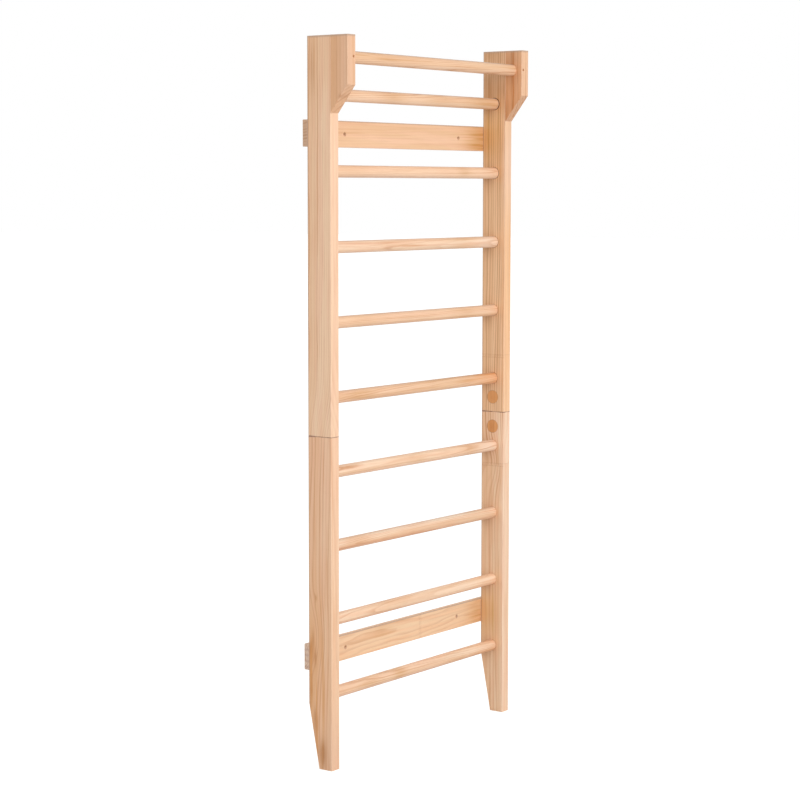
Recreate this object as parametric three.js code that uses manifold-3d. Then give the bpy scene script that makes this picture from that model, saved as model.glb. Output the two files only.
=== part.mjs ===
// Wall bars: two side posts spliced at mid height, forward head blocks, ten round rungs,
// two wall rails and the fittings that hold them together.
// Millimetres. X runs along the rungs, Y towards the wall from the posts' front, Z up from the floor.

import * as THREE from 'three';
import { mergeVertices } from 'three/addons/utils/BufferGeometryUtils.js';
import Module from 'manifold-3d';

const wasm = await Module();
wasm.setup();

// Overall size
const overallHeight = 2200;
const overallWidth = 960;

// Side posts, cut back at the foot to clear a skirting board
const postThickness = 38;
const postDepth = 87;
const postEase = 1.2;
const footDepth = 48;
const footTaperHeight = 200;

// Head blocks, glued to the posts' front at the top
const headReach = 64;
const headFrontLength = 146;
const headSlantHeight = 82;

// Rungs, glued into blind sockets of the posts, the top one into the head blocks
const rungDiameter = 37;
const rungSocketDepth = 22;
const rungChamfer = 1.5;
const rungSetback = 44;
const bottomRungHeight = 225;
const upperRungDrop = 171;
const postRungCount = 9;
const lowerPostRungCount = 4;
const topRungDrop = 63;
const topRungReach = 24;

// Wall rails, across the back of the posts
const railHeight = 80;
const railThickness = 18;
const railEase = 2;
const lowerRailHeight = 300;
const upperRailDrop = 244;
const wallHoleDiameter = 8;
const wallSinkDiameter = 12;
const wallHoleSpacing = 600;

// Splice of a post: a draw bolt between two round pockets that wooden plugs close
const pocketDistance = 49;
const pocketDepth = 28;
const plugDiameter = 43;
const plugThickness = 8;
const plugEase = 0.4;
const boltDiameter = 8;
const boltHeadHeight = 5.3;
const boltChamfer = 1;
const boltTail = 4;
const hexWidth = 13;
const nutHeight = 6.5;
const washerFlatDistance = 12;

// Dowels
const dowelDiameter = 8;
const dowelChamfer = 1;
const spliceDowelLength = 60;
const spliceDowelEdge = 11;
const headDowelLength = 50;
const headDowelDrops = [22, 115];

// Countersunk screws
const railScrew = { length: 40, diameter: 5, headDiameter: 10, headHeight: 3, recess: 0.6 };
const railScrewEdge = 18;
const lockScrew = { length: 38, diameter: 4, headDiameter: 7.5, headHeight: 2.4, recess: 3 };
const lockScrewInset = 8.5;
const driveWidth = 3;
const driveDepth = 1.5;

// Fits, and how far a cutter stands out of the face that it enters
const fitClearance = 0.3;
const cutterOverrun = 1;

// Facets of a full turn
const rungFacets = 32;
const fittingFacets = 16;
const hexFacets = 6;

// Places that follow from the sizes
const halfWidth = overallWidth / 2;
const postCentre = halfWidth - postThickness / 2;
const wallPlane = postDepth + railThickness;
const rungPitch = (overallHeight - upperRungDrop - bottomRungHeight) / (postRungCount - 1);
const spliceHeight = bottomRungHeight + (lowerPostRungCount - 0.5) * rungPitch;
const topRungHeight = overallHeight - topRungDrop;
const clearSpan = overallWidth - 2 * postThickness;
const pocketRoom = pocketDepth - plugThickness;
const boltSetback = plugThickness + pocketRoom / 2;
const axisX = new THREE.Vector3(1, 0, 0);
const axisY = new THREE.Vector3(0, 1, 0);
const axisZ = new THREE.Vector3(0, 0, 1);

const finish = {
  pine: new THREE.MeshStandardMaterial({ color: 0xe4c49c, roughness: 0.55, metalness: 0 }),
  darkPine: new THREE.MeshStandardMaterial({ color: 0xc79a66, roughness: 0.55, metalness: 0 }),
  plugWood: new THREE.MeshStandardMaterial({ color: 0xcd9155, roughness: 0.5, metalness: 0 }),
  beech: new THREE.MeshStandardMaterial({ color: 0xd8b78c, roughness: 0.65, metalness: 0 }),
  zinc: new THREE.MeshStandardMaterial({ color: 0xb9bcc0, roughness: 0.35, metalness: 0.9 }),
};

const assembly = new THREE.Group();

function place(name, geometry, material, position = new THREE.Vector3(), parent = assembly) {
  const mesh = new THREE.Mesh(geometry, material);
  mesh.name = name;
  mesh.position.copy(position);
  parent.add(mesh);
  return mesh;
}

// Solid of a closed geometry, with shared corners merged and zero-area triangles left out
function solidOf(geometry) {
  const bare = geometry.clone();
  bare.deleteAttribute('normal');
  bare.deleteAttribute('uv');
  const merged = mergeVertices(bare);
  const corners = merged.index.array;
  const kept = [];
  for (let i = 0; i < corners.length; i += 3) {
    const [a, b, c] = corners.slice(i, i + 3);
    if (a !== b && b !== c && c !== a) kept.push(a, b, c);
  }
  const vertProperties = new Float32Array(merged.attributes.position.array);
  const triVerts = new Uint32Array(kept);
  return new wasm.Manifold(new wasm.Mesh({ numProp: 3, vertProperties, triVerts }));
}

function geometryOf(solid) {
  const { vertProperties, triVerts } = solid.getMesh();
  const geometry = new THREE.BufferGeometry();
  geometry.setAttribute('position', new THREE.BufferAttribute(vertProperties, 3));
  geometry.setIndex(new THREE.BufferAttribute(triVerts, 1));
  geometry.computeVertexNormals();
  return geometry;
}

function cut(geometry, cutters) {
  const rest = cutters.reduce((solid, cutter) => solid.subtract(solidOf(cutter)), solidOf(geometry));
  return geometryOf(rest);
}

function join(first, second) {
  return geometryOf(solidOf(first).add(solidOf(second)));
}

// A body turned about its own axis from [radius, distance along the axis] pairs, then aimed
function turned(profile, direction, facets) {
  const points = profile.map(([radius, along]) => new THREE.Vector2(radius, along));
  const aim = new THREE.Quaternion().setFromUnitVectors(axisY, direction);
  return new THREE.LatheGeometry(points, facets).applyQuaternion(aim);
}

// A round bar of the given length, centred on the origin, with its ends chamfered
function roundBar(diameter, length, chamfer, direction, facets) {
  const radius = diameter / 2;
  const end = length / 2;
  const profile = [
    [0, -end],
    [radius - chamfer, -end],
    [radius, chamfer - end],
    [radius, end - chamfer],
    [radius - chamfer, end],
    [0, end],
  ];
  return turned(profile, direction, facets);
}

// A plain round cutter centred on the origin
function drill(diameter, length, direction, facets) {
  const radius = diameter / 2;
  const profile = [[0, -length / 2], [radius, -length / 2], [radius, length / 2], [0, length / 2]];
  return turned(profile, direction, facets);
}

// A board standing on an outline in Y and Z, centred in X, with both faces eased all round
function board(shape, thickness, ease) {
  const geometry = new THREE.ExtrudeGeometry(shape, {
    depth: thickness - 2 * ease,
    bevelThickness: ease,
    bevelSize: ease,
    bevelOffset: -ease,
    bevelSegments: 2,
    curveSegments: 6,
  });
  geometry.translate(0, 0, ease - thickness / 2);
  return geometry.applyMatrix4(new THREE.Matrix4().makeBasis(axisY, axisZ, axisX));
}

function outline(...corners) {
  return new THREE.Shape(corners.map(([y, z]) => new THREE.Vector2(y, z)));
}

// A countersunk screw along +Y from its head's face, or the hole for it with a clearance and a way out
function screwProfile(screw, clearance, wayOut) {
  const shank = screw.diameter / 2 + clearance;
  const head = screw.headDiameter / 2 + clearance;
  const point = screw.diameter;
  return [
    [0, -wayOut],
    [head, -wayOut],
    [head, clearance],
    [shank, screw.headHeight + clearance],
    [shank, screw.length - point],
    [0, screw.length + clearance],
  ];
}

function screwBody(screw, direction) {
  const body = turned(screwProfile(screw, 0, 0), direction, fittingFacets);
  const socket = new THREE.CylinderGeometry(driveWidth / 2, driveWidth / 2, 2 * driveDepth, hexFacets);
  return cut(body, [socket]);
}

function screwHole(screw, direction) {
  return turned(screwProfile(screw, fitClearance, screw.recess + cutterOverrun), direction, fittingFacets);
}

// A hexagon prism along Z from the origin upwards, with two of its flats facing along X
function hexPrism(width, height) {
  const corner = width / Math.sqrt(3);
  const prism = new THREE.CylinderGeometry(corner, corner, height, hexFacets);
  prism.rotateX(Math.PI / 2);
  prism.translate(0, 0, height / 2);
  return prism;
}

// Heights of the rungs that the posts carry, from the bottom up
const postRungHeights = Array.from({ length: postRungCount }, (_, i) => bottomRungHeight + i * rungPitch);
const railCentres = {
  lower: lowerRailHeight + railHeight / 2,
  upper: overallHeight - upperRailDrop - railHeight / 2,
};
const railScrewOffset = railHeight / 2 - railScrewEdge;
const spliceDowelSetbacks = [spliceDowelEdge, postDepth - spliceDowelEdge];

// Cutters of one post, in the post's own frame: inward is the direction of the other post
function socketCutter(inward, y, z) {
  const length = 2 * (rungSocketDepth + fitClearance);
  const cutter = drill(rungDiameter + 2 * fitClearance, length, axisX, rungFacets);
  return cutter.translate((inward * postThickness) / 2, y, z);
}

function pocketCutter(inward, z) {
  const cutter = drill(plugDiameter + 2 * fitClearance, 2 * pocketDepth, axisX, rungFacets);
  return cutter.translate((inward * postThickness) / 2, rungSetback, z);
}

function boltCutter(inward) {
  const cutter = drill(boltDiameter + 2 * fitClearance, 2 * pocketDistance, axisZ, fittingFacets);
  return cutter.translate(inward * (postThickness / 2 - boltSetback), rungSetback, spliceHeight);
}

function spliceDowelCutters() {
  const bore = dowelDiameter + 2 * fitClearance;
  const length = spliceDowelLength + 2 * fitClearance;
  return spliceDowelSetbacks.map((y) => {
    return drill(bore, length, axisZ, fittingFacets).translate(0, y, spliceHeight);
  });
}

function headDowelCutters() {
  const bore = dowelDiameter + 2 * fitClearance;
  const length = headDowelLength + 2 * fitClearance;
  return headDowelDrops.map((drop) => {
    return drill(bore, length, axisY, fittingFacets).translate(0, 0, overallHeight - drop);
  });
}

function railScrewCutters(centre) {
  return [-1, 1].map((end) => {
    const hole = screwHole(railScrew, axisY.clone().negate());
    return hole.translate(0, wallPlane - railScrew.recess, centre + end * railScrewOffset);
  });
}

function lockScrewCutter(inward) {
  const x = inward * (postThickness / 2 - lockScrewInset);
  return screwHole(lockScrew, axisY).translate(x, lockScrew.recess - headReach, topRungHeight);
}

// One post with its head block and splice, in a group at the post's centre plane
function buildSide(side, inward) {
  const group = new THREE.Group();
  group.position.x = -inward * postCentre;
  assembly.add(group);
  const innerFace = (inward * postThickness) / 2;
  const boltX = inward * (postThickness / 2 - boltSetback);
  const add = (name, geometry, material, x, y, z) =>
    place(`${side}_${name}`, geometry, material, new THREE.Vector3(x, y, z), group);

  const lowerOutline = outline(
    [0, 0],
    [footDepth, 0],
    [postDepth, footTaperHeight],
    [postDepth, spliceHeight],
    [0, spliceHeight],
  );
  const upperOutline = outline(
    [0, spliceHeight],
    [postDepth, spliceHeight],
    [postDepth, overallHeight],
    [0, overallHeight],
  );
  const headOutline = outline(
    [0, overallHeight - headFrontLength - headSlantHeight],
    [0, overallHeight],
    [-headReach, overallHeight],
    [-headReach, overallHeight - headFrontLength],
  );
  const sockets = postRungHeights.map((z) => socketCutter(inward, rungSetback, z));
  const lowerPost = cut(board(lowerOutline, postThickness, postEase), [
    ...sockets.slice(0, lowerPostRungCount),
    pocketCutter(inward, spliceHeight - pocketDistance),
    boltCutter(inward),
    ...spliceDowelCutters(),
    ...railScrewCutters(railCentres.lower),
  ]);
  const upperPost = cut(board(upperOutline, postThickness, postEase), [
    ...sockets.slice(lowerPostRungCount),
    pocketCutter(inward, spliceHeight + pocketDistance),
    boltCutter(inward),
    ...spliceDowelCutters(),
    ...headDowelCutters(),
    ...railScrewCutters(railCentres.upper),
  ]);
  const headBlock = cut(board(headOutline, postThickness, postEase), [
    socketCutter(inward, -topRungReach, topRungHeight),
    ...headDowelCutters(),
    lockScrewCutter(inward),
  ]);
  add('post_lower', lowerPost, finish.pine, 0, 0, 0);
  add('post_upper', upperPost, finish.pine, 0, 0, 0);
  add('head_block', headBlock, finish.darkPine, 0, 0, 0);

  buildSplice(add, inward, innerFace, boltX);

  const headDowel = roundBar(dowelDiameter, headDowelLength, dowelChamfer, axisY, fittingFacets);
  ['upper', 'lower'].forEach((level, i) => {
    add(`head_dowel_${level}`, headDowel, finish.beech, 0, 0, overallHeight - headDowelDrops[i]);
  });

  const railScrewGeometry = screwBody(railScrew, axisY.clone().negate());
  for (const [rail, centre] of Object.entries(railCentres)) {
    for (const [level, end] of [['low', -1], ['high', 1]]) {
      const z = centre + end * railScrewOffset;
      add(`${rail}_rail_screw_${level}`, railScrewGeometry, finish.zinc, 0, wallPlane - railScrew.recess, z);
    }
  }
  const lockX = inward * (postThickness / 2 - lockScrewInset);
  const lockY = lockScrew.recess - headReach;
  add('top_rung_screw', screwBody(lockScrew, axisY), finish.zinc, lockX, lockY, topRungHeight);
}

// Draw bolt, nut, half-moon washers, cover plugs and alignment dowels of one post
function buildSplice(add, inward, innerFace, boltX) {
  const washer = washerGeometry();
  const plug = roundBar(plugDiameter, plugThickness, plugEase, axisX, rungFacets);
  const dowel = roundBar(dowelDiameter, spliceDowelLength, dowelChamfer, axisZ, fittingFacets);
  const plugX = innerFace - (inward * plugThickness) / 2;
  for (const [level, up] of [['lower', -1], ['upper', 1]]) {
    const pocketHeight = spliceHeight + up * pocketDistance;
    const piece = add(`splice_washer_${level}`, washer, finish.zinc, boltX, rungSetback, pocketHeight);
    piece.rotation.x = up > 0 ? 0 : Math.PI;
    add(`splice_plug_${level}`, plug, finish.plugWood, plugX, rungSetback, pocketHeight);
  }
  ['front', 'back'].forEach((end, i) => {
    add(`splice_dowel_${end}`, dowel, finish.beech, 0, spliceDowelSetbacks[i], spliceHeight);
  });

  // The bolt's head bears on the lower washer and the nut on the upper one
  const grip = 2 * (pocketDistance - washerFlatDistance + fitClearance);
  const shankLength = grip + nutHeight + boltTail;
  const rooted = boltHeadHeight / 2;
  const shank = roundBar(boltDiameter, shankLength + rooted, boltChamfer, axisZ, fittingFacets);
  shank.translate(0, 0, (shankLength - rooted) / 2);
  const head = hexPrism(hexWidth, boltHeadHeight).translate(0, 0, -boltHeadHeight);
  const bearing = spliceHeight - grip / 2;
  add('splice_bolt', join(shank, head), finish.zinc, boltX, rungSetback, bearing);

  const nutBore = drill(boltDiameter + 2 * fitClearance, 4 * nutHeight, axisZ, fittingFacets);
  const nut = cut(hexPrism(hexWidth, nutHeight), [nutBore]);
  add('splice_nut', nut, finish.zinc, boltX, rungSetback, bearing + grip);
}

// Half-moon washer in the frame of an upper pocket: its round side lies towards the joint, below
function washerGeometry() {
  const radius = plugDiameter / 2;
  const half = Math.acos(washerFlatDistance / radius);
  const shape = new THREE.Shape();
  shape.absarc(0, 0, radius, -Math.PI / 2 - half, -Math.PI / 2 + half, false);
  shape.closePath();
  const width = pocketRoom - 2 * fitClearance;
  const bore = drill(boltDiameter + 2 * fitClearance, 4 * radius, axisZ, fittingFacets);
  return cut(board(shape, width, fitClearance), [bore]);
}

function buildRungs() {
  const length = clearSpan + 2 * rungSocketDepth;
  const plain = roundBar(rungDiameter, length, rungChamfer, axisX, rungFacets);
  const lockX = clearSpan / 2 + lockScrewInset;
  const lockY = lockScrew.recess + topRungReach - headReach;
  const lockHoles = [-1, 1].map((end) => screwHole(lockScrew, axisY).translate(end * lockX, lockY, 0));
  const topPosition = new THREE.Vector3(0, -topRungReach, topRungHeight);
  place('rung_01', cut(plain, lockHoles), finish.pine, topPosition);
  postRungHeights.forEach((z, i) => {
    const number = String(postRungCount + 1 - i).padStart(2, '0');
    place(`rung_${number}`, plain, finish.pine, new THREE.Vector3(0, rungSetback, z));
  });
}

// Hole for a wall screw, through a rail from its front, with a countersink
function wallHoleCutter() {
  const bore = wallHoleDiameter / 2;
  const sink = wallSinkDiameter / 2;
  const profile = [
    [0, -cutterOverrun],
    [sink + cutterOverrun, -cutterOverrun],
    [bore, sink - bore],
    [bore, railThickness + cutterOverrun],
    [0, railThickness + cutterOverrun],
  ];
  return turned(profile, axisY, fittingFacets).translate(0, -railThickness / 2, 0);
}

function buildRails() {
  const cornerY = railThickness / 2 - railEase;
  const cornerZ = railHeight / 2 - railEase;
  const quarter = Math.PI / 2;
  const shape = new THREE.Shape();
  shape.absarc(cornerY, cornerZ, railEase, 0, quarter, false);
  shape.absarc(-cornerY, cornerZ, railEase, quarter, 2 * quarter, false);
  shape.absarc(-cornerY, -cornerZ, railEase, 2 * quarter, 3 * quarter, false);
  shape.absarc(cornerY, -cornerZ, railEase, 3 * quarter, 4 * quarter, false);
  const railSetback = postDepth + railThickness / 2;
  const wallHoles = [-1, 1].map((end) => wallHoleCutter().translate((end * wallHoleSpacing) / 2, 0, 0));
  const screwHoles = [-1, 1].flatMap((end) =>
    railScrewCutters(0).map((hole) => hole.translate(end * postCentre, -railSetback, 0)),
  );
  const rail = cut(board(shape, overallWidth, postEase), [...wallHoles, ...screwHoles]);
  for (const [level, centre] of Object.entries(railCentres)) {
    place(`${level}_wall_rail`, rail, finish.pine, new THREE.Vector3(0, railSetback, centre));
  }
}

buildSide('left', 1);
buildSide('right', -1);
buildRungs();
buildRails();

// The origin is on the floor, midway between the posts and midway from the head blocks' front to the wall
assembly.position.y = (headReach - wallPlane) / 2;

const wallBars = new THREE.Group();
wallBars.add(assembly);

export default wallBars;
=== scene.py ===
import math

import bpy
import numpy as np
from mathutils import Matrix, Vector


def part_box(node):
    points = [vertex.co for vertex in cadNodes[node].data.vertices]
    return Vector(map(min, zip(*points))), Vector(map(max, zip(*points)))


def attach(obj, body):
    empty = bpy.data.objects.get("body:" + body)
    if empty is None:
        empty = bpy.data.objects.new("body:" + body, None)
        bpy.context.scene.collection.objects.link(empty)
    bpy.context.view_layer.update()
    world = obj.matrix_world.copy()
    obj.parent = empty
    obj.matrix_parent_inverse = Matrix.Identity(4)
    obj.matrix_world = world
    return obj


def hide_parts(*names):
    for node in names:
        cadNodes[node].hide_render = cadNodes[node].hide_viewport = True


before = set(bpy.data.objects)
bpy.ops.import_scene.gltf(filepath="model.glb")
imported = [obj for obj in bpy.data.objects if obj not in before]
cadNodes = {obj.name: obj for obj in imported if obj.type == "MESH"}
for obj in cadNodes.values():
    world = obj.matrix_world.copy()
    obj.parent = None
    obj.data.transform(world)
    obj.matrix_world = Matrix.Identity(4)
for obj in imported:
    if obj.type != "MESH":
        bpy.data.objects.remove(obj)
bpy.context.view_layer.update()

scene = bpy.context.scene
scene.view_settings.view_transform = "Standard"
print("frame loaded:", len(cadNodes), "CAD nodes")


def tone(red, green, blue):  # a screen colour, 0-255, as the linear colour that a socket takes
    share = np.array([red, green, blue]) / 255
    linear = np.where(share <= 0.04045, share / 12.92, ((share + 0.055) / 1.055) ** 2.4)
    return (*linear.tolist(), 1.0)


class Wire:  # a node's output, used in sums like a number
    def __init__(self, bench, socket):
        self.bench = bench
        self.socket = socket

    def other(self, output):
        return Wire(self.bench, self.socket.node.outputs[output])

    def __add__(self, value):
        return self.bench.sum("ADD", self, value)

    def __radd__(self, value):
        return self.bench.sum("ADD", value, self)

    def __sub__(self, value):
        return self.bench.sum("SUBTRACT", self, value)

    def __rsub__(self, value):
        return self.bench.sum("SUBTRACT", value, self)

    def __mul__(self, value):
        return self.bench.sum("MULTIPLY", self, value)

    def __rmul__(self, value):
        return self.bench.sum("MULTIPLY", value, self)

    def __truediv__(self, value):
        return self.bench.sum("DIVIDE", self, value)

    def __rtruediv__(self, value):
        return self.bench.sum("DIVIDE", value, self)

    def __pow__(self, value):
        return self.bench.sum("POWER", self, value)

    def __abs__(self):
        return self.bench.sum("ABSOLUTE", self)

    def __gt__(self, value):
        return self.bench.sum("GREATER_THAN", self, value)

    def __lt__(self, value):
        return self.bench.sum("LESS_THAN", self, value)


class Bench:  # the node tree of one material, emptied first
    def __init__(self, tree):
        self.tree = tree
        tree.nodes.clear()

    def make(self, kind, settings=None, sockets=None, output=0):
        node = self.tree.nodes.new("ShaderNode" + kind)
        for key, value in (settings or {}).items():
            setattr(node, key, value)
        for key, value in (sockets or {}).items():
            if isinstance(value, Wire):
                self.tree.links.new(value.socket, node.inputs[key])
            else:
                node.inputs[key].default_value = value
        return Wire(self, node.outputs[output]) if len(node.outputs) else None

    def sum(self, operation, *values):
        return self.make("Math", {"operation": operation}, dict(enumerate(values)))

    def rise(self, value, low, high):  # 0 below low, 1 above high, smooth between
        sockets = {"Value": value, "From Min": low, "From Max": high}
        return self.make("MapRange", {"interpolation_type": "SMOOTHSTEP"}, sockets)

    def tint(self, share, under, over):  # colour over laid on colour under
        return self.make("Mix", {"data_type": "RGBA"}, {0: share, 6: under, 7: over}, output=2)

    def noise(self, place, stretch, seed, detail=2.0, roughness=0.5):
        shift = (seed * 3.1, seed * 1.7, -seed * 2.3)
        spot = self.make("VectorMath", {"operation": "MULTIPLY_ADD"}, {0: place, 1: stretch, 2: shift})
        sockets = {"Vector": spot, "Scale": 1.0, "Detail": detail, "Roughness": roughness}
        return self.make("TexNoise", {"noise_dimensions": "3D"}, sockets)

    def millimetres(self, centre):  # object coordinates about a centre, in millimetres
        place = self.make("TexCoord", output="Object")
        shift = tuple(-1000 * value for value in centre)
        sockets = {0: place, 1: (1000, 1000, 1000), 2: shift}
        return self.make("VectorMath", {"operation": "MULTIPLY_ADD"}, sockets)


def newMaterial(name):
    material = bpy.data.materials.new(name)
    material.use_nodes = True
    return material, Bench(material.node_tree)


# Timber as a solid: rings about a pith line that leans and wanders, each ring pale early wood that
# darkens into a late line, years that come in paler and darker bands, and over them fibres, streaks,
# resin flecks, stains with some painted highlights and shade among them, finger joints, worn edges, and
# painted shade.
# Lengths are in millimetres from the board's centre, in the order along, across, through.
timberSettings = {
    "axes": "ZYX",
    "seed": 1.0,
    "pith": (-120, 30),
    "lean": (0.0, 0.0),
    "wander": 16,
    "ripple": 3.0,
    "rippleLength": 90,
    "ringGap": 9.0,
    "ringDrift": 1.2,
    "bandRate": 0.31,
    "bandShare": 0.5,
    "blushShare": 0.7,
    "lateShare": 0.62,
    "lateFrom": 0.3,
    "fadeShare": 0.7,
    "narrowShare": 0.55,
    "narrowStain": 1.0,
    "streakShare": 0.3,
    "fibreShare": 0.2,
    "fleckShare": 0.35,
    "heartEdge": (100, 180),
    "heartRipple": 12,
    "heartShare": 0.25,
    "endShare": 0.6,
    "endLateShare": 0.9,
    "wornShare": 0.35,
    # share of painted shade on the upper side of a rung
    "topShadeShare": 0.0,
    # share of painted shade along the back edges
    "backEdgeShade": 1.0,
    # ends whose edges get painted shade
    "endEdgeShade": (),
    "opens": -1,
    "sap": tone(251, 215, 183),
    "warm": tone(243, 197, 156),
    "rose": tone(250, 206, 174),
    "heart": tone(224, 164, 108),
    "late": tone(208, 147, 101),
    "streak": tone(216, 160, 112),
    "fleck": tone(176, 116, 74),
    "endGrain": tone(204, 166, 136),
    # tone of the painted shade in gaps and holes
    "gapShade": tone(84, 40, 14),
    # tone of the painted shadow below and behind the sockets
    "socketShadeTone": tone(146, 90, 48),
    "seamLine": tone(124, 44, 0),
    "edge": tone(253, 224, 198),
    # tone of the painted shade along edges and on rung tops
    "paintedShadeTone": tone(186, 157, 136),
    "swirls": (),
    "stainsAndPaintedLight": (),
    "fingers": (),
    "fingerShift": (913, 31, -17),
    "buttEnds": (),
    # rings of painted shade in gaps and holes
    "gapShades": (),
    "rimWidth": 1.4,
    # painted shadows below and behind the sockets
    "socketShades": (),
    "roughness": 0.52,
    "bumpDepth": 0.00025,
}

# noise in the wood: stretch a millimetre along, across and through the grain, what is added to the board's
# seed, detail, roughness, and for a mask the two values between which it rises from 0 to 1
grainFields = {
    "swayAcross": {"stretch": (0.0021, 0.009, 0.009), "shift": 0, "detail": 1.5},
    "swayThrough": {"stretch": (0.0021, 0.009, 0.009), "shift": 7, "detail": 1.5},
    "ripple": {"stretch": (1.0, 0.03, 0.03), "shift": 11, "detail": 2.0},
    "drift": {"stretch": (0.0016, 0.02, 0.02), "shift": 3, "detail": 1.0},
    "fade": {"stretch": (0.006, 0.03, 0.03), "shift": 19, "detail": 2.0, "rise": (0.32, 0.66)},
    "fibre": {"stretch": (0.013, 0.9, 0.9), "shift": 5, "detail": 4.0, "roughness": 0.6},
    "streak": {"stretch": (0.0028, 0.11, 0.11), "shift": 9, "detail": 3.0, "rise": (0.5, 0.7)},
    "blush": {"stretch": (0.004, 0.06, 0.06), "shift": 17, "detail": 2.0, "rise": (0.42, 0.62)},
    "fleck": {"stretch": (0.07, 1.3, 1.3), "shift": 13, "detail": 1.0, "rise": (0.7, 0.78)},
    "tight": {"stretch": (0.03, 0.05, 0.05), "shift": 23, "detail": 2.0, "rise": (0.4, 0.62)},
}


class Board:  # the grain of one board, and the marks on it
    def __init__(self, bench, wood, box):
        low, high = (np.array(corner) for corner in box)
        half = dict(zip("XYZ", (high - low) * 500))
        split = bench.make("SeparateXYZ", {}, {0: bench.millimetres((low + high) / 2)}, output="X")
        normal = bench.make("NewGeometry", output="Normal")
        facing = bench.make("SeparateXYZ", {}, {0: normal}, output=wood["axes"][0])
        self.bench = bench
        self.wood = wood
        self.along, self.across, self.through = (split.other(axis) for axis in wood["axes"])
        self.halfAlong, self.halfAcross, self.halfThrough = (half[axis] for axis in wood["axes"])
        self.endGrain = bench.rise(abs(facing), 0.35, 0.9)
        self.narrow = bench.rise(abs(facing.other(wood["axes"][1])), 0.6, 0.95)
        self.opening = bench.rise(self.through * wood["opens"], self.halfThrough - 2, self.halfThrough - 0.5)
        self.joinLengths()
        self.fibre = self.field("fibre")
        self.streak = self.field("streak")
        self.fleck = self.field("fleck")
        self.growRings()

    def field(self, name, lengthways=1.0):  # a noise field, its stretch along the grain times lengthways
        plan = grainFields[name]
        stretch = (plan["stretch"][0] * lengthways, *plan["stretch"][1:])
        seed = self.wood["seed"] + plan["shift"]
        value = self.bench.noise(self.grain, stretch, seed, plan["detail"], plan.get("roughness", 0.5))
        return self.bench.rise(value, *plan["rise"]) if "rise" in plan else value

    def spot(self, mark):  # 1 at a mark's place, about a third at its reach
        farAlong = (self.along - mark["at"][0]) / mark["reach"][0]
        farAcross = (self.across - mark["at"][1]) / mark["reach"][1]
        return self.bench.sum("EXPONENT", (farAlong * farAlong + farAcross * farAcross) * -1)

    def joinLengths(self):  # finger joints: another piece of wood beyond a row of interlocking teeth
        bench = self.bench
        beyond = 0
        self.calm = 1
        self.glue = 0
        for joint in self.wood["fingers"]:
            saw = abs(bench.sum("FRACT", self.across / joint["pitch"]) - 0.5) * 2
            teeth = bench.rise(saw, 0.2, 0.8) * joint["depth"]
            past = (self.along - joint["at"] - teeth) * joint["side"]
            beyond = beyond + (past > 0) * joint["change"]
            self.calm = self.calm - (past > 0) * joint["calm"]
            self.glue = bench.sum("MAXIMUM", self.glue, 1 - bench.rise(abs(past), 0.5, 1.5))
        shiftAlong, shiftAcross, shiftThrough = self.wood["fingerShift"]
        self.grainAcross = self.across + beyond * shiftAcross
        self.grainThrough = self.through + beyond * shiftThrough
        places = {0: self.along + beyond * shiftAlong, 1: self.grainAcross, 2: self.grainThrough}
        self.grain = bench.make("CombineXYZ", {}, places)

    def growRings(self):  # the distance from the pith line, cut into years
        bench = self.bench
        wood = self.wood
        ripple = self.field("ripple", 1 / wood["rippleLength"]) - 0.5
        swayAcross = (self.field("swayAcross") - 0.5) * wood["wander"]
        swayThrough = (self.field("swayThrough") - 0.5) * wood["wander"]
        offAcross = self.grainAcross - wood["pith"][0] - self.along * wood["lean"][0] + swayAcross
        offThrough = self.grainThrough - wood["pith"][1] - self.along * wood["lean"][1] + swayThrough
        radius = bench.sum("SQRT", offAcross * offAcross + offThrough * offThrough) + ripple * wood["ripple"]
        for swirl in wood["swirls"]:  # the rings are pushed aside round a point
            radius = radius + self.spot(swirl) * swirl["push"]
        rings = radius / wood["ringGap"] + self.field("drift") * wood["ringDrift"]
        part = bench.sum("FRACT", rings)
        year = {"W": bench.sum("FLOOR", rings) + wood["seed"]}
        ringTone = bench.make("TexWhiteNoise", {"noise_dimensions": "1D"}, year)
        late = bench.rise(part, wood["lateFrom"], 0.88) * (1 - bench.rise(part, 0.9, 1.0))
        late = late * (0.2 + 0.8 * ringTone)
        strength = 1.1 - (1 - self.field("fade")) * wood["fadeShare"]  # stronger here, fainter there
        self.late = late * strength
        years = {"W": rings * wood["bandRate"] + wood["seed"] * 9, "Scale": 1.0, "Detail": 1.5}
        self.band = bench.rise(bench.make("TexNoise", {"noise_dimensions": "1D"}, years), 0.36, 0.64)
        self.heart = 1 - bench.rise(radius + ripple * wood["heartRipple"], *wood["heartEdge"])

    def cleanColour(self):
        wood = self.wood
        tint = self.bench.tint
        clear = 1 - self.narrow * (1 - wood["narrowShare"])  # the narrow faces show the rings more faintly
        colour = tint(self.field("blush") * wood["blushShare"], wood["sap"], wood["rose"])
        colour = tint(self.band * clear * wood["bandShare"], colour, wood["warm"])
        colour = tint(self.heart * wood["heartShare"], colour, wood["heart"])
        # stains, and among them painted highlights and painted shade
        for patch in wood["stainsAndPaintedLight"]:
            patchShare = self.spot(patch) * (0.5 + 0.8 * self.streak) * patch["share"]
            patchShare = patchShare * (1 - self.narrow * (1 - wood["narrowStain"]))
            colour = tint(patchShare, colour, patch.get("tone", wood["heart"]))
        colour = tint(self.endGrain * wood["endShare"], colour, wood["endGrain"])
        colour = tint(self.late * clear * self.calm * wood["lateShare"], colour, wood["late"])
        colour = tint(self.late * self.endGrain * wood["endLateShare"], colour, wood["fleck"])
        colour = tint(self.streak * wood["streakShare"], colour, wood["streak"])
        colour = tint(self.bench.rise(self.fibre, 0.45, 0.8) * wood["fibreShare"], colour, wood["late"])
        return tint(self.fleck * wood["fleckShare"], colour, wood["fleck"])

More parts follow.
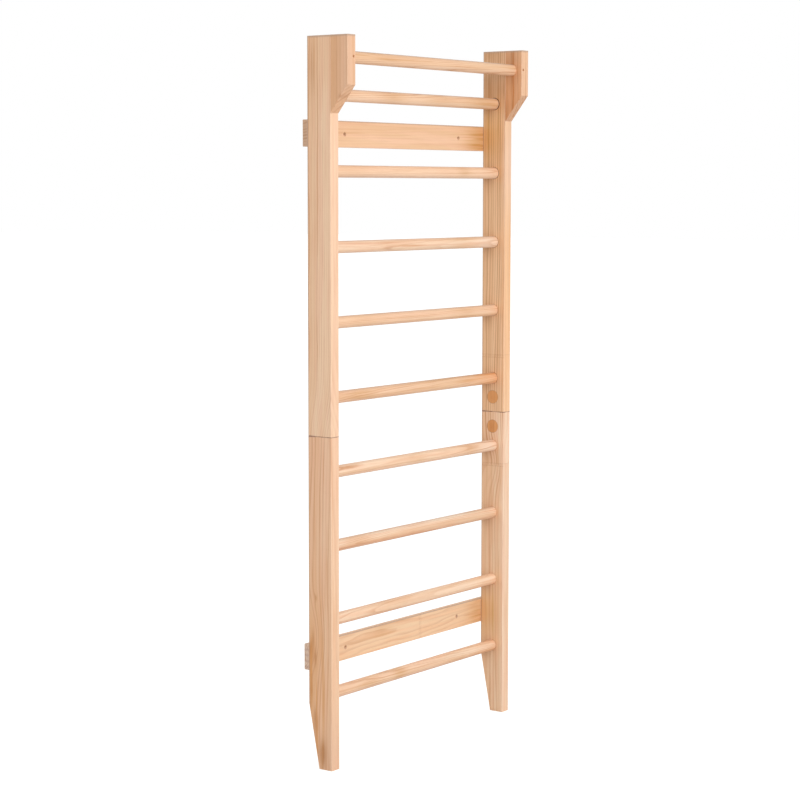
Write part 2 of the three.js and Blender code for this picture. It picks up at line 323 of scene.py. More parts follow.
    def edgeDistance(self):  # the second smallest distance to the board's faces, made ragged by the fibres
        bench = self.bench
        toEnd = self.halfAlong - abs(self.along)
        toSide = self.halfAcross - abs(self.across)
        toFace = self.halfThrough - abs(self.through)
        nearer = bench.sum("MINIMUM", toEnd, toSide)
        farther = bench.sum("MAXIMUM", toEnd, toSide)
        toEdge = bench.sum("MAXIMUM", nearer, bench.sum("MINIMUM", farther, toFace))
        return toEdge + (self.fibre - 0.5) * 2.5

    def usedColour(self, colour):  # worn edges, painted shadow below and behind the sockets, painted shade along the back and end edges and on top of the rungs
        bench = self.bench
        wood = self.wood
        toEdge = self.edgeDistance()
        self.worn = 1 - bench.rise(toEdge, 0.5, 2.6)
        colour = bench.tint(self.worn * wood["wornShare"], colour, wood["edge"])
        # painted shadow below and behind each rung socket
        for mark in wood["socketShades"]:
            colour = bench.tint(self.spot(mark) * self.opening * mark["share"], colour, wood["socketShadeTone"])
        # painted shade along the back edges and along the end edges listed for the board
        edgeShade = 1 - bench.rise(toEdge, 1.0, 5.0)
        edgeShade = edgeShade * bench.rise(self.across, 0, self.halfAcross) * wood["backEdgeShade"]
        for side in wood["endEdgeShade"]:
            ragged = self.along * side + (self.fibre - 0.5) * 4
            edgeShade = bench.sum("MAXIMUM", edgeShade, bench.rise(ragged, self.halfAlong - 9, self.halfAlong - 1))
        colour = bench.tint(edgeShade * (0.75 - 0.45 * self.endGrain), colour, wood["paintedShadeTone"])
        # painted shade on the upper side of a rung, stronger on the upper rungs
        if wood["topShadeShare"]:
            topShade = bench.rise(self.across + (self.fibre - 0.5) * 3, self.halfAcross * 0.72, self.halfAcross)
            colour = bench.tint(topShade * wood["topShadeShare"], colour, wood["paintedShadeTone"])
        return colour

    def joinedColour(self, colour):  # glue lines, the shadow of a butt joint, painted shade in the gap round a socket or plug and inside the wall holes
        bench = self.bench
        wood = self.wood
        if wood["fingers"]:
            colour = bench.tint(self.glue * (0.7 - 0.55 * self.narrow), colour, wood["fleck"])
        for end in wood["buttEnds"]:
            fromEnd = abs(self.along - end * self.halfAlong) + (self.fibre - 0.5) * 0.8
            seam = 1 - bench.rise(fromEnd, 0.6, 1.6)
            colour = bench.tint(seam * (0.5 + 0.5 * self.field("tight")), colour, wood["seamLine"])
        # painted shade in the gap round each socket or plug and inside the wall holes
        for rim in wood["gapShades"]:
            square = (self.along - rim["at"][0]) ** 2 + (self.across - rim["at"][1]) ** 2
            fromAxis = bench.sum("SQRT", square)
            ring = 1 - bench.rise(fromAxis, rim["radius"], rim["radius"] + wood["rimWidth"])
            colour = bench.tint(ring * self.opening * rim["share"], colour, wood["gapShade"])
        return colour


def timber(name, box, **changes):
    wood = {**timberSettings, **changes}
    material, bench = newMaterial(name)
    board = Board(bench, wood, box)
    colour = board.joinedColour(board.usedColour(board.cleanColour()))
    relief = board.late * 0.5 + board.fibre * 0.35 - board.fleck * 0.4
    roughness = wood["roughness"] + (board.fibre - 0.5) * 0.22 - board.late * 0.1
    roughness = roughness + board.endGrain * 0.16 + board.worn * 0.07
    bump = bench.make("Bump", {}, {"Strength": 0.5, "Distance": wood["bumpDepth"], "Height": relief})
    sockets = {
        "Base Color": colour,
        "Roughness": roughness,
        "Normal": bump,
        "Specular IOR Level": 0.35,
        "Coat Weight": 0.08,
        "Coat Roughness": 0.35,
    }
    shader = bench.make("BsdfPrincipled", {}, sockets)
    bench.make("OutputMaterial", {}, {"Surface": shader})
    return material


zincSettings = {
    "pale": tone(214, 216, 218),
    "dull": tone(168, 172, 176),
    "shadow": tone(120, 118, 112),
    "roughness": 0.34,
    "grimeShare": 0.6,
    "spangle": (0.9, 0.9, 0.9),
    "grime": (0.25, 0.25, 0.25),
    "scratch": (6.0, 6.0, 0.7),
}


def zincSteel(name, **changes):  # spangled plate under grime and fine scratches
    zinc = {**zincSettings, **changes}
    material, bench = newMaterial(name)
    place = bench.millimetres((0, 0, 0))
    spangle = bench.noise(place, zinc["spangle"], 2.0, 3.0)
    grime = bench.noise(place, zinc["grime"], 5.0, 4.0, 0.65)
    scratch = bench.noise(place, zinc["scratch"], 8.0, 2.0)
    colour = bench.tint(bench.rise(spangle, 0.35, 0.65), zinc["pale"], zinc["dull"])
    colour = bench.tint(bench.rise(grime, 0.55, 0.8) * zinc["grimeShare"], colour, zinc["shadow"])
    roughness = zinc["roughness"] + (grime - 0.5) * 0.3 + (scratch - 0.5) * 0.12
    bump = bench.make("Bump", {}, {"Strength": 0.3, "Distance": 0.00005, "Height": scratch})
    sockets = {"Base Color": colour, "Roughness": roughness, "Metallic": 1.0, "Normal": bump}
    shader = bench.make("BsdfPrincipled", {}, sockets)
    bench.make("OutputMaterial", {}, {"Surface": shader})
    return material


def dress(node, material):
    for slot in cadNodes[node].material_slots:
        slot.material = material


# A closed surface from a grid of rings: quads between neighbouring rings, one face over each end ring.
def closedPiece(name, rings, material, sharpAngle=35):
    count, around = rings.shape[:2]
    index = np.arange(count * around).reshape(count, around)
    here = index[:-1]
    there = index[1:]
    quads = np.stack([here, np.roll(here, -1, axis=1), np.roll(there, -1, axis=1), there], axis=-1)
    faces = [*quads.reshape(-1, 4).tolist(), index[0, ::-1].tolist(), index[-1].tolist()]
    mesh = bpy.data.meshes.new(name)
    mesh.from_pydata(rings.reshape(-1, 3).tolist(), [], faces)
    mesh.polygons.foreach_set("use_smooth", np.ones(len(faces), dtype=bool))
    mesh.set_sharp_from_angle(angle=math.radians(sharpAngle))
    mesh.materials.append(material)
    mesh.update()
    piece = bpy.data.objects.new(name, mesh)
    scene.collection.objects.link(piece)
    return piece


axisUnits = {"X": (1, 0, 0), "Y": (0, 1, 0), "Z": (0, 0, 1), "-X": (-1, 0, 0), "-Y": (0, -1, 0)}
axisSides = {"X": "YZ", "Y": "ZX", "Z": "XY", "-X": "ZY", "-Y": "XZ"}


def turnAngles(around):
    return np.arange(around) * 2 * math.pi / around


# Turned surface: at each station along the axis, a circle of that station's radius about the axis.
# Stations and radii are one number a ring, or one a point of the ring for threads, crosses and grooves.
def turned(stations, radii, axis, start, around):
    count = len(stations)
    stations = np.broadcast_to(np.asarray(stations, float).reshape(count, -1), (count, around))
    radii = np.broadcast_to(np.asarray(radii, float).reshape(count, -1), (count, around))
    angle = turnAngles(around)
    first, second = (np.array(axisUnits[side]) for side in axisSides[axis])
    circle = np.cos(angle)[:, None] * first + np.sin(angle)[:, None] * second
    spine = stations[:, :, None] * np.array(axisUnits[axis])
    return np.asarray(start) + spine + radii[:, :, None] * circle


def settle(piece, node):
    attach(piece, "root")
    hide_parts(node)


def boxOf(node):
    low, high = (np.array(corner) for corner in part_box(node))
    return low, high, (low + high) / 2


def heightOn(board, piece):  # a piece's height from a board's centre, in millimetres
    return round(float(boxOf(piece)[2][2] - boxOf(board)[2][2]) * 1000, 1)


# posts, head blocks and rails keep their CAD solids and get a board of their own each
amber = tone(206, 152, 84)
brown = tone(176, 118, 74)
olive = tone(204, 160, 98)
resin = tone(158, 96, 50)
lowerRungs = ("rung_07", "rung_08", "rung_09", "rung_10")
upperRungs = ("rung_02", "rung_03", "rung_04", "rung_05", "rung_06")
# painted shadow below and behind each rung socket: how far below and behind, its reach and share
socketShade = {"below": 15, "behind": 22, "reach": (36, 24), "share": 0.36}
# painted shade inside the wall-screw holes
wallHoleShades = [{"at": (side * 300, 0), "radius": 6.0, "share": 0.35} for side in (-1, 1)]


def socketShadeAt(post, rungs):  # painted shadow behind and below each rung
    spots = [(heightOn(post, rung) - socketShade["below"], socketShade["behind"]) for rung in rungs]
    return [{"at": spot, "reach": socketShade["reach"], "share": socketShade["share"]} for spot in spots]


def gapShadeAt(post, piece, share, across=0.5, radius=18.6):  # painted shade in the gap round a rung or a plug
    return {"at": (heightOn(post, piece), across), "radius": radius, "share": share}


def gapShadesAt(post, rungs, share):
    return [gapShadeAt(post, rung, share) for rung in rungs]


leftLower = {
    "opens": 1,
    "socketShades": socketShadeAt("left_post_lower", lowerRungs),
    "gapShades": gapShadesAt("left_post_lower", lowerRungs, 0.3),
    "pith": (128, 66),
    "lean": (-0.022, 0.0),
    "ringGap": 10.5,
    "seed": 2.4,
    "lateShare": 0.6,
    "fadeShare": 0.45,
    "buttEnds": (1,),
    "swirls": (
        {"at": (-105, 44), "reach": (90, 50), "push": -36},
        {"at": (18, 16), "reach": (16, 9), "push": -5},
    ),
    "stainsAndPaintedLight": (
        {"at": (18, 16), "reach": (9, 5), "share": 0.9, "tone": tone(190, 124, 72)},
        {"at": (-457, -10), "reach": (46, 16), "share": 1.5, "tone": tone(160, 102, 58)},
        {"at": (-335, 39), "reach": (60, 6), "share": 0.95, "tone": brown},
        {"at": (-405, 25), "reach": (60, 6), "share": 1.05, "tone": brown},
        {"at": (-470, 13), "reach": (50, 6), "share": 1.1, "tone": brown},
        {"at": (-367, 14), "reach": (26, 7), "share": 1.1, "tone": brown},
        {"at": (-146, 35), "reach": (24, 5), "share": 1.8, "tone": resin},
        {"at": (-166, 18), "reach": (24, 4), "share": 1.5, "tone": resin},
        {"at": (-112, 27), "reach": (28, 3.5), "share": 1.1, "tone": resin},
        {"at": (-256, 34), "reach": (34, 4), "share": 1.3, "tone": resin},
        {"at": (-345, 20), "reach": (30, 3.5), "share": 1.2, "tone": resin},
        {"at": (-152, 33), "reach": (48, 14), "share": 1.15, "tone": tone(200, 132, 76)},
        {"at": (-240, 20), "reach": (360, 60), "share": 0.85, "tone": tone(231, 164, 98)},
        {"at": (440, 0), "reach": (220, 90), "share": 0.6, "tone": tone(240, 178, 138)},
        {"at": (-507, -43), "reach": (190, 22), "share": 0.6, "tone": tone(218, 170, 142)},
    ),
}
leftUpper = {
    "opens": 1,
    "socketShades": socketShadeAt("left_post_upper", upperRungs),
    "gapShades": gapShadesAt("left_post_upper", upperRungs, 0.3),
    "pith": (122, 70),
    "lean": (-0.008, 0.0),
    "ringGap": 7.5,
    "ripple": 4.0,
    "seed": 4.1,
    "sap": tone(253, 218, 184),
    "lateShare": 0.72,
    "bandShare": 0.3,
    "streakShare": 0.18,
    "endEdgeShade": (1,),
    "buttEnds": (-1,),
    "swirls": ({"at": (-620, -10), "reach": (130, 70), "push": 28},),
    "stainsAndPaintedLight": (
        {"at": (540, 0), "reach": (130, 90), "share": 0.45},
        {"at": (490, 25), "reach": (70, 8), "share": 0.5, "tone": brown},
        {"at": (0, -44), "reach": (900, 9), "share": 0.35, "tone": tone(250, 202, 172)},
    ),
}
rightLower = {
    "socketShades": socketShadeAt("right_post_lower", lowerRungs),
    "pith": (110, 64),
    "lean": (0.012, 0.0),
    "ringGap": 8.5,
    "seed": 6.7,
    "sap": tone(254, 226, 196),
    "buttEnds": (1,),
    "lateShare": 1.0,
    "fadeShare": 0.4,
    "narrowShare": 0.35,
    "fingers": ({"at": 325, "side": -1, "pitch": 4.0, "depth": 10, "change": 1, "calm": 0.4},),
    "swirls": ({"at": (335, -5), "reach": (75, 42), "push": -20},),
    "gapShades": (
        gapShadeAt("right_post_lower", "right_splice_plug_lower", 0.25, radius=21.8),
        *gapShadesAt("right_post_lower", lowerRungs, 0.38),
    ),
    "stainsAndPaintedLight": (
        {"at": (-180, 22), "reach": (90, 50), "share": 0.75, "tone": tone(224, 178, 98)},
        {"at": (-507, 0), "reach": (7, 30), "share": 0.55, "tone": brown},
        {"at": (0, 12), "reach": (900, 42), "share": 0.16, "tone": olive},
        {"at": (0, -24), "reach": (900, 15), "share": 0.14, "tone": olive},
        {"at": (0, -44), "reach": (900, 9), "share": 0.35, "tone": tone(255, 212, 186)},
    ),
}
rightUpper = {
    "socketShades": socketShadeAt("right_post_upper", upperRungs),
    "pith": (118, 60),
    "lean": (-0.006, 0.0),
    "ringGap": 8.0,
    "seed": 8.2,
    "heartShare": 0.3,
    "lateShare": 1.0,
    "fadeShare": 0.3,
    "narrowShare": 0.4,
    "sap": tone(253, 212, 171),
    "rose": tone(252, 206, 165),
    "late": tone(184, 127, 79),
    "endEdgeShade": (1,),
    "buttEnds": (-1,),
    "fingers": ({"at": -412, "side": 1, "pitch": 4.0, "depth": 10, "change": 0.02, "calm": 0},),
    # painted shade in the gaps round the rungs, strongest round rung_02
    "gapShades": (
        gapShadeAt("right_post_upper", "rung_02", 1.0, across=-1.2, radius=19.3),
        gapShadeAt("right_post_upper", "rung_03", 0.75, across=-0.6, radius=18.9),
        gapShadeAt("right_post_upper", "rung_04", 0.55, across=-0.4, radius=18.8),
        gapShadeAt("right_post_upper", "rung_05", 0.38, across=0.0),
        gapShadeAt("right_post_upper", "rung_06", 0.42, across=-0.6, radius=18.7),
        gapShadeAt("right_post_upper", "right_splice_plug_upper", 0.25, radius=21.8),
    ),
    "stainsAndPaintedLight": (
        # partly real brown stripes, partly painted shadow under the head block and the top rung
        {"at": (470, 5), "reach": (60, 70), "share": 1.15, "tone": brown},
        {"at": (600, 10), "reach": (60, 70), "share": 1.0, "tone": tone(178, 126, 80)},
        {"at": (320, 20), "reach": (100, 60), "share": 1.05, "tone": tone(220, 168, 90)},
        {"at": (230, -44), "reach": (150, 9), "share": 0.7, "tone": tone(250, 216, 200)},
        {"at": (-260, -44), "reach": (380, 9), "share": 0.9, "tone": tone(255, 194, 140)},
        {"at": (0, 14), "reach": (900, 42), "share": 0.2, "tone": olive},
        {"at": (0, -24), "reach": (900, 15), "share": 0.14, "tone": olive},
    ),
}
boards = {
    "left_post_lower": leftLower,
    "left_post_upper": leftUpper,
    "right_post_lower": rightLower,
    "right_post_upper": rightUpper,
    "left_head_block": {
        "pith": (90, 60),
        "seed": 10.3,
        "ringGap": 11.0,
        "heartShare": 0.5,
        "bandShare": 0.7,
        "backEdgeShade": 0.0,
        "endEdgeShade": (1,),
        "sap": tone(238, 197, 167),
        "endGrain": tone(232, 190, 156),
        "stainsAndPaintedLight": ({"at": (-66, -6), "reach": (6, 9), "share": 0.9, "tone": brown},),
    },
    "right_head_block": {
        "pith": (30, -50),
        "ringGap": 9.0,
        "seed": 12.9,
        "lateShare": 0.8,
        "streakShare": 0.4,
        "narrowShare": 0.35,
        "narrowStain": 0.15,
        "backEdgeShade": 0.0,
        "endEdgeShade": (1,),
        "sap": tone(250, 208, 173),
        "late": tone(186, 124, 76),
        "streak": tone(198, 128, 76),
        "stainsAndPaintedLight": (
            {"at": (-10, 16), "reach": (260, 56), "share": 1.0, "tone": tone(198, 121, 48)},
            {"at": (75, 14), "reach": (40, 32), "share": 0.5, "tone": brown},
        ),
        # painted shadow under the top rung
        "socketShades": ({"at": (22, 14), "reach": (22, 24), "share": 0.14},),
    },
    "upper_wall_rail": {
        "axes": "XZY",
        "pith": (150, 40),
        "lean": (0.02, 0.0),
        "ringGap": 9.0,
        "seed": 14.6,
        "lateShare": 0.28,
        "bandShare": 0.3,
        "endEdgeShade": (-1, 1),
        "sap": tone(241, 200, 160),
        "gapShades": wallHoleShades,
        "stainsAndPaintedLight": ({"at": (430, 0), "reach": (72, 70), "share": 1.1, "tone": amber},),
    },
    "lower_wall_rail": {
        "axes": "XZY",
        "pith": (12, 46),
        "lean": (0.01, 0.012),
        "ringGap": 7.0,
        "ripple": 14,
        "rippleLength": 240,
        "seed": 16.2,
        "endEdgeShade": (-1, 1),
        "lateShare": 0.7,
        "bandShare": 0.28,
        "sap": tone(255, 226, 192),
        "warm": tone(252, 205, 158),
        "rose": tone(255, 212, 174),
        "endGrain": tone(244, 224, 210),
        "fingers": ({"at": 88, "side": 1, "pitch": 4.0, "depth": 10, "change": 0.03, "calm": 0},),
        "gapShades": wallHoleShades,
        "stainsAndPaintedLight": (
            {"at": (425, 0), "reach": (58, 60), "share": 0.85, "tone": amber},
            {"at": (-110, 25), "reach": (70, 22), "share": 0.5, "tone": amber},
            *({"at": (-480, at), "reach": (4, 4), "share": 2.0, "tone": resin} for at in (-31, -13, 5, 22)),
        ),
    },
}
for node, board in boards.items():
    dress(node, timber("pine_" + node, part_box(node), **board))
print("boards dressed:", len(boards))

# rungs: turned rods with chamfered ends, each from a rod of its own
# pith is its distance and its direction from the rung's axis, patches give place, reach, share and tone,
# lines give place, height, reach, thickness, share and tone, the full-length lines below the axis being
# painted highlights on the upper rungs and painted shade on the lower ones, and the top shade is painted
# shade on top
rungPine = tone(253, 215, 182)
palePine = tone(255, 224, 195)
orange = tone(238, 156, 88)
russet = tone(206, 122, 70)
cream = tone(255, 226, 202)
rungSettings = {
    "around": 96,
    "stations": 48,
    "chamfer": 0.0015,
    "patchHeight": 60,
    "leanTurn": 0.6,
    "firstSeed": 20.5,
    "seedStep": 3.7,
    "rod": {"sap": rungPine, "lines": (), "topShade": 0.35},
    "board": {
        "axes": "XZY",
        "ringGap": 4.6,
        "wander": 12,
        "heartEdge": (6, 34),
        "heartShare": 0.2,
        "lateShare": 0.85,
        "lateFrom": 0.5,
        "bandShare": 0.4,
        "narrowShare": 1.0,
        "fibreShare": 0.16,
        "backEdgeShade": 0.0,
    },
    "rung_01": {
        "pith": (30, 0.4),
        "lean": 0.03,
        "patches": ((-260, 260, 0.6, amber), (300, 200, 0.5, amber)),
        # the full-length cream line below the axis is a painted highlight on the underside
        "lines": ((0, -13, 480, 6, 0.6, cream),),
        "topShade": 0.8,
    },
    "rung_02": {
        "pith": (24, 2.9),
        "lean": -0.04,
        "sap": tone(249, 211, 177),
        "patches": ((-137, 70, 0.7, amber), (110, 90, 0.6, amber), (360, 130, 0.8, amber)),
        # the full-length cream line below the axis is a painted highlight on the underside
        "lines": ((0, -13, 480, 6, 0.7, cream),),
        "topShade": 0.6,
    },
    "rung_03": {
        "pith": (44, 5.0),
        "lean": 0.015,
        "patches": ((-340, 90, 0.25, amber), (249, 34, 0.5, amber)),
        # the full-length cream line below the axis is a painted highlight on the underside
        "lines": ((0, -13, 480, 6, 0.8, cream),),
    },
    "rung_04": {
        "pith": (22, 1.2),
        "lean": 0.02,
        "sap": palePine,
        "patches": ((241, 90, 0.4, amber), (-150, 200, 0.1, amber), (390, 60, 0.9, cream)),
        "lines": ((-260, 8, 190, 2.2, 0.7, russet), (60, -3, 300, 2.0, 0.6, russet)),
    },
    "rung_05": {
        "pith": (40, 3.6),
        "lean": -0.02,
        "patches": ((-281, 100, 0.35, amber), (257, 70, 0.45, amber)),
    },
    "rung_06": {
        "pith": (20, 0.2),
        "lean": 0.04,
        "patches": ((-297, 80, 0.4, amber), (200, 300, 0.45, amber), (420, 120, 0.85, orange)),
    },
    "rung_07": {
        "pith": (46, 2.2),
        "lean": -0.015,
        "sap": palePine,
        "patches": ((290, 50, 0.4, amber), (8, 40, 0.25, amber), (395, 60, 0.9, cream)),
        "topShade": 0.1,
    },
    "rung_08": {
        "pith": (26, 4.4),
        "lean": -0.03,
        "sap": tone(255, 230, 204),
        "patches": ((-330, 70, 0.4, amber), (321, 60, 0.3, amber), (400, 70, 0.3, orange)),
        # the full-length russet line below the axis is painted shade on the underside
        "lines": ((-330, -8, 170, 4, 0.8, russet), (0, -10, 480, 5, 0.6, russet)),
        "topShade": 0.2,
    },
    "rung_09": {
        "pith": (36, 1.7),
        "lean": 0.02,
        "sap": palePine,
        "patches": ((-120, 90, 0.25, amber), (400, 70, 0.25, tone(255, 196, 146))),
        # the full-length russet line below the axis is painted shade on the underside
        "lines": ((0, -15, 480, 5, 0.5, russet),),
        "topShade": 0.0,
    },
    "rung_10": {
        "pith": (28, 3.1),
        "lean": 0.03,
        "sap": palePine,
        "patches": (
            (-249, 60, 0.3, amber),
            (-96, 36, 0.6, amber),
            (201, 110, 0.3, amber),
            (400, 80, 0.38, orange),
        ),
        # the full-length russet line below the axis is painted shade on the underside
        "lines": ((0, -15, 480, 5, 0.65, russet),),
        "topShade": 0.0,
    },
}


def rungBoard(order, rod):  # the timber settings of one rung
    away, turn = rod["pith"]
    leanTurn = turn + rungSettings["leanTurn"]
    tall = rungSettings["patchHeight"]
    marks = [(at, 0, reach, tall, share, shade) for at, reach, share, shade in rod["patches"]]
    marks += rod["lines"]
    return {
        **rungSettings["board"],
        "pith": (away * math.cos(turn), away * math.sin(turn)),
        "lean": (rod["lean"] * math.cos(leanTurn), rod["lean"] * math.sin(leanTurn)),
        "sap": rod["sap"],
        "topShadeShare": rod["topShade"],
        "seed": rungSettings["firstSeed"] + order * rungSettings["seedStep"],
        "stainsAndPaintedLight": [{"at": (at, height), "reach": (reach, thick), "share": share, "tone": shade}
                   for at, height, reach, thick, share, shade in marks],
    }


rungNames = sorted(name for name in cadNodes if name.startswith("rung_"))
rungPieces = {}
for order, node in enumerate(rungNames):
    low, high, centre = boxOf(node)
    radius = (high[2] - low[2]) / 2
    length = high[0] - low[0]
    chamfer = rungSettings["chamfer"]
    shank = np.linspace(chamfer, length - chamfer, rungSettings["stations"])
    stations = np.concatenate([[0], shank, [length]])
    radii = np.full(len(stations), radius)
    radii[[0, -1]] -= chamfer
    grid = turned(stations, radii, "X", (low[0], centre[1], centre[2]), rungSettings["around"])
    rod = {**rungSettings["rod"], **rungSettings[node]}
    wood = timber("pine_" + node, (low, high), **rungBoard(order, rod))
    rungPieces[node] = closedPiece("turned_" + node, grid, wood)
    settle(rungPieces[node], node)
print("rungs turned:", len(rungNames))

# plugs: flat discs with an eased rim and a face that falls away slightly towards it
plugSettings = {
    "around": 64,
    "ease": 0.0004,
    "fall": 0.00015,
    "faceRings": 8,
    "faceCentre": 0.02,
    "firstSeed": 60,
    "seedStep": 3,
}
plugWood = {
    "axes": "ZYX",
    "pith": (-60, 20),
    "ringGap": 5.0,
    "lateShare": 0.5,
    "sap": tone(238, 172, 110),
    "warm": tone(224, 154, 92),
    "rose": tone(240, 176, 116),
    "late": tone(188, 120, 66),
    "streak": tone(200, 130, 74),
    "heart": tone(208, 134, 70),
    "edge": tone(196, 148, 100),
    "paintedShadeTone": tone(190, 140, 96),
    "endGrain": tone(222, 158, 98),
    "stainsAndPaintedLight": ({"at": (-2, 2), "reach": (14, 9), "share": 0.7},),
}
for node in sorted(name for name in cadNodes if "_splice_plug_" in name):
    low, high, centre = boxOf(node)
    ease = plugSettings["ease"]
    radius = (high[2] - low[2]) / 2
    thick = high[0] - low[0]
    face = np.linspace(1, plugSettings["faceCentre"], plugSettings["faceRings"])
    fall = plugSettings["fall"]
    stations = np.concatenate([[0, ease, thick - ease - fall], thick - fall * face**2])
    radii = np.concatenate([[radius - ease, radius, radius], (radius - ease) * face])
    inward = 1 if centre[0] < 0 else -1
    start = (low[0] if inward > 0 else high[0], centre[1], centre[2])
    grid = turned(stations, radii, "X" if inward > 0 else "-X", start, plugSettings["around"])
    seed = plugSettings["firstSeed"] + centre[2] * plugSettings["seedStep"] + inward
    wood = timber("amber_" + node, (low, high), seed=seed, **plugWood)
    settle(closedPiece(node + "_disc", grid, wood), node)
print("plugs turned")

zinc = zincSteel("zinc_plate")
yellowSettings = {
    "pale": tone(222, 172, 114),
    "dull": tone(190, 138, 86),
    "shadow": tone(120, 84, 52),
    "roughness": 0.5,
}
yellowZinc = zincSteel("yellow_zinc_plate", **yellowSettings)

# wood screws, from the tip to the head: a threaded body, then a countersunk head with a cross recess
screwSettings = {
    "around": 32,
    "rail": {"core": 0.0016, "thread": 0.0025, "pitch": 0.0022, "headHeight": 0.003},
    "lock": {"core": 0.0013, "thread": 0.002, "pitch": 0.0018, "headHeight": 0.0024},
    "threaded": 0.66,
    "ridge": 0.3,
    "shank": 1.12,
    "tip": 0.005,
    "tipShare": 0.04,
    "rim": 0.0004,
    "crossWidth": 0.28,
    "crossReach": 0.66,
    "crossDepth": 0.0013,
    "crossSlope": 0.0003,
    "crossEndSlope": 0.0005,
    "ringsPerTurn": 8,
    "faceRings": 18,
    "faceCentre": 0.03,
}


# radius = core + a ridge that climbs one pitch a turn, tapered at the tip
def threadedBody(plan, length, angle):
    neck = length - plan["headHeight"]
    threadEnd = length * screwSettings["threaded"]
    along = np.linspace(0, neck, int(neck / plan["pitch"] * screwSettings["ringsPerTurn"]))[:, None]
    turns = (along / plan["pitch"] - angle / (2 * math.pi)) % 1
    ridge = np.clip(1 - np.abs(turns - 0.5) / screwSettings["ridge"], 0, 1) * (along < threadEnd)
    taper = np.clip(along / screwSettings["tip"], screwSettings["tipShare"], 1)
    shank = np.where(along < threadEnd, plan["core"], plan["core"] * screwSettings["shank"])
    return along, taper * (shank + ridge * (plan["thread"] - plan["core"]))


# a flat face that sinks where the smaller of |x| and |y| is inside a cross and the larger one in its reach
def crossFace(headRadius, length, angle):
    face = np.linspace(1, screwSettings["faceCentre"], screwSettings["faceRings"])[:, None] * headRadius
    across = np.abs(face * np.cos(angle))
    upright = np.abs(face * np.sin(angle))
    inside = screwSettings["crossWidth"] * headRadius - np.minimum(across, upright)
    toEnd = screwSettings["crossReach"] * headRadius - np.maximum(across, upright)
    inArm = np.clip(inside / screwSettings["crossSlope"], 0, 1)
    inReach = np.clip(toEnd / screwSettings["crossEndSlope"], 0, 1)
    return length - screwSettings["crossDepth"] * inArm * inReach, face


def screwGrid(low, high, axis, kind):
    around = screwSettings["around"]
    centre = (low + high) / 2
    length = high[1] - low[1]
    headRadius = (high[0] - low[0]) / 2
    angle = turnAngles(around)
    along, body = threadedBody(screwSettings[kind], length, angle)
    sunk, face = crossFace(headRadius, length, angle)
    rim = [[length - screwSettings["rim"]] * around]
    stations = np.concatenate([np.repeat(along, around, axis=1), rim, sunk])
    radii = np.concatenate([body, [[headRadius] * around], np.repeat(face, around, axis=1)])
    start = (centre[0], low[1] if axis == "Y" else high[1], centre[2])
    return turned(stations, radii, axis, start, around)


screwNames = sorted(name for name in cadNodes if "screw" in name)
for node in screwNames:
    low, high, centre = boxOf(node)
    kind, axis, coat = ("lock", "-Y", yellowZinc) if "top_rung" in node else ("rail", "Y", zinc)
    piece = closedPiece(node + "_threaded", screwGrid(low, high, axis, kind), coat, sharpAngle=28)
    settle(piece, node)
print("screws threaded:", len(screwNames))

# the top rung is bored for its lock screws: a straight cylinder from in front of the rung to past the tip
boreSettings = {"around": 24, "radius": 0.00215, "past": 0.0003}
topRung = rungPieces["rung_01"]
cutters = []
for node in (name for name in screwNames if "top_rung" in name):
    low, high, centre = boxOf(node)
    stations = [0, high[1] - low[1] + boreSettings["past"]]
    start = (centre[0], low[1], centre[2])
    grid = turned(stations, [boreSettings["radius"]] * 2, "Y", start, boreSettings["around"])
    cutters.append(closedPiece("cutter_" + node, grid, topRung.active_material))
    cut = topRung.modifiers.new(node, "BOOLEAN")
    cut.operation = "DIFFERENCE"
    cut.solver = "EXACT"
    cut.object = cutters[-1]
bpy.context.view_layer.update()
bored = bpy.data.meshes.new_from_object(topRung.evaluated_get(bpy.context.evaluated_depsgraph_get()))
topRung.modifiers.clear()
topRung.data = bored
for cutter in cutters:
    bpy.data.meshes.remove(cutter.data)
print("top rung bored:", len(bored.polygons), "faces")

# dowels: radius = bar less narrow grooves, a cosine to a high power round the bar, and chamfered ends
dowelSettings = {
    "around": 96,
    "grooves": 12,
    "grooveDepth": 0.00035,
    "grooveSharpness": 4,
    "chamfer": 0.001,
    "seedStep": 5,
}
beechWood = {
    "ringGap": 2.5,
    "lateShare": 0.3,
    "sap": tone(228, 184, 144),
    "warm": tone(216, 166, 124),
    "rose": tone(224, 176, 140),
    "late": tone(190, 134, 92),
}
for node in sorted(name for name in cadNodes if "dowel" in name):
    low, high, centre = boxOf(node)
    upright = "splice" in node
    length = (high - low)[2 if upright else 1]
    chamfer = dowelSettings["chamfer"]
    radius = (high[0] - low[0]) / 2
    angle = turnAngles(dowelSettings["around"])
    wave = 0.5 + 0.5 * np.cos(dowelSettings["grooves"] * angle)
    groove = dowelSettings["grooveDepth"] * wave ** dowelSettings["grooveSharpness"]
    stations = np.array([0, chamfer, length - chamfer, length])
    radii = np.stack([radius - np.full_like(groove, chamfer), radius - groove] * 2)[[0, 1, 3, 2]]
    start = (centre[0], centre[1], low[2]) if upright else (centre[0], low[1], centre[2])
    grid = turned(stations, radii, "Z" if upright else "Y", start, dowelSettings["around"])
    axes = "ZYX" if upright else "YZX"
    seed = centre[2] * dowelSettings["seedStep"]
    wood = timber("beech_" + node, (low, high), axes=axes, seed=seed, **beechWood)
    settle(closedPiece(node + "_grooved", grid, wood), node)
print("dowels grooved")

# the hardware inside the splices keeps its CAD solids
for node in cadNodes:
    if "bolt" in node or "nut" in node or "washer" in node:
        dress(node, zinc)
print("splice hardware dressed")

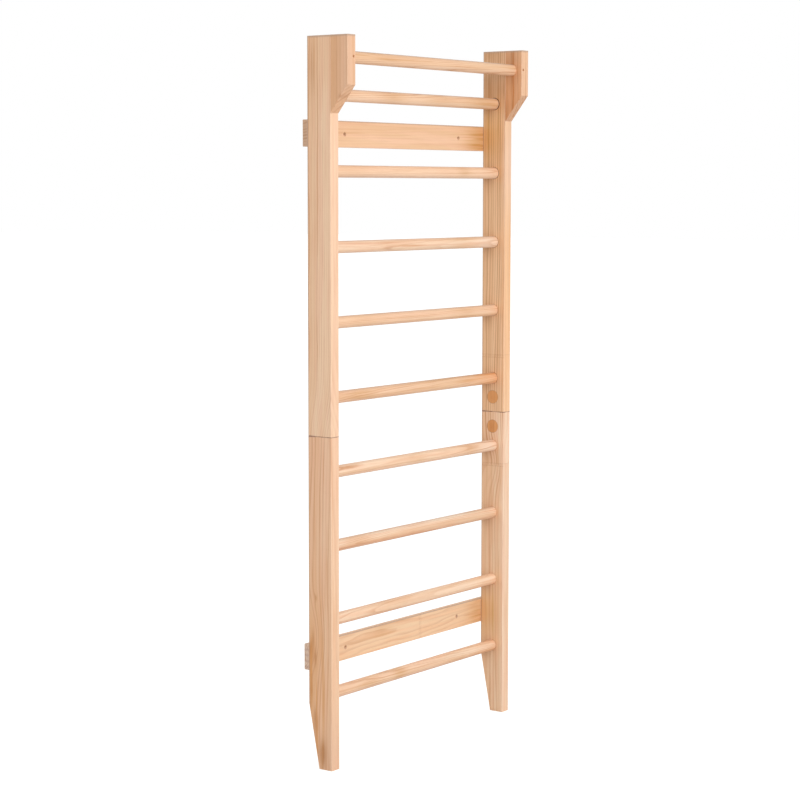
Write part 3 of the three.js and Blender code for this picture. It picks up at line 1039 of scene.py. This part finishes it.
# studio: pale ambient light, one broad soft key at the left front, white floor that keeps the shadow
studio = {
    "zenith": 0.455,
    "horizon": 1.05,
    "keyPower": 204.0,
    "keyAt": (-2.6, -6.4, 3.4),
    "keyTarget": (0.0, 0.0, 1.2),
    "keySize": 3.2,
    "floorHalf": 60.0,
    "floorColour": 0.66,
}


def seenRays(bench):  # 1 where the camera, a mirror or a glass looks straight at the background
    camera = bench.make("LightPath", output="Is Camera Ray")
    sharp = bench.sum("MAXIMUM", camera.other("Is Glossy Ray"), camera.other("Is Transmission Ray"))
    return bench.sum("MAXIMUM", camera, sharp)


scene.world = bpy.data.worlds.new("studioWorld")
scene.world.use_nodes = True
bench = Bench(scene.world.node_tree)
direction = bench.make("SeparateXYZ", {}, {0: bench.make("TexCoord", output="Generated")}, output="Z")
climb = bench.sum("MINIMUM", abs(direction), 1.0)
ambient = studio["horizon"] + climb * (studio["zenith"] - studio["horizon"])
strength = ambient + seenRays(bench) * (1 - ambient)
sky = bench.make("Background", {}, {"Color": (1, 1, 1, 1), "Strength": strength})
bench.make("OutputWorld", {}, {"Surface": sky})

floorMaterial, bench = newMaterial("studioFloor")
glow = seenRays(bench) * (1 - studio["floorColour"] * studio["zenith"])
matt = bench.make("BsdfDiffuse", {}, {"Color": (studio["floorColour"],) * 3 + (1,)})
light = bench.make("Emission", {}, {"Color": (1, 1, 1, 1), "Strength": glow})
bench.make("OutputMaterial", {}, {"Surface": bench.make("AddShader", {}, {0: matt, 1: light})})
reach = studio["floorHalf"]
mesh = bpy.data.meshes.new("studioFloor")
corners = [(-reach, -reach, 0), (reach, -reach, 0), (reach, reach, 0), (-reach, reach, 0)]
mesh.from_pydata(corners, [], [(0, 1, 2, 3)])
mesh.materials.append(floorMaterial)
floor = bpy.data.objects.new("studioFloor", mesh)
scene.collection.objects.link(floor)

key = bpy.data.objects.new("softKey", bpy.data.lights.new("softKey", "AREA"))
key.data.energy = studio["keyPower"]
key.data.size = studio["keySize"]
key.location = studio["keyAt"]
aim = Vector(studio["keyTarget"]) - key.location
key.rotation_euler = aim.to_track_quat("-Z", "Y").to_euler()
key.visible_camera = False
scene.collection.objects.link(key)
print("studio lit")

view = {
    "location": (-5.45637, -3.95534, 1.75176),
    "sensor": 36,
    "lens": 96.5786,
    "yaw": 53.5178,
    "pitch": 5.61868,
    "roll": 0.05618,
}
camera = bpy.data.objects.new("camera", bpy.data.cameras.new("camera"))
camera.data.sensor_width = view["sensor"]
camera.data.lens = view["lens"]
camera.location = view["location"]
swing = Matrix.Rotation(-math.radians(view["yaw"]), 3, "Z")
tip = Matrix.Rotation(math.radians(90 - view["pitch"]), 3, "X")
roll = Matrix.Rotation(math.radians(view["roll"]), 3, "Z")
camera.rotation_euler = (swing @ tip @ roll).to_euler()
scene.collection.objects.link(camera)
scene.camera = camera
print("camera set")
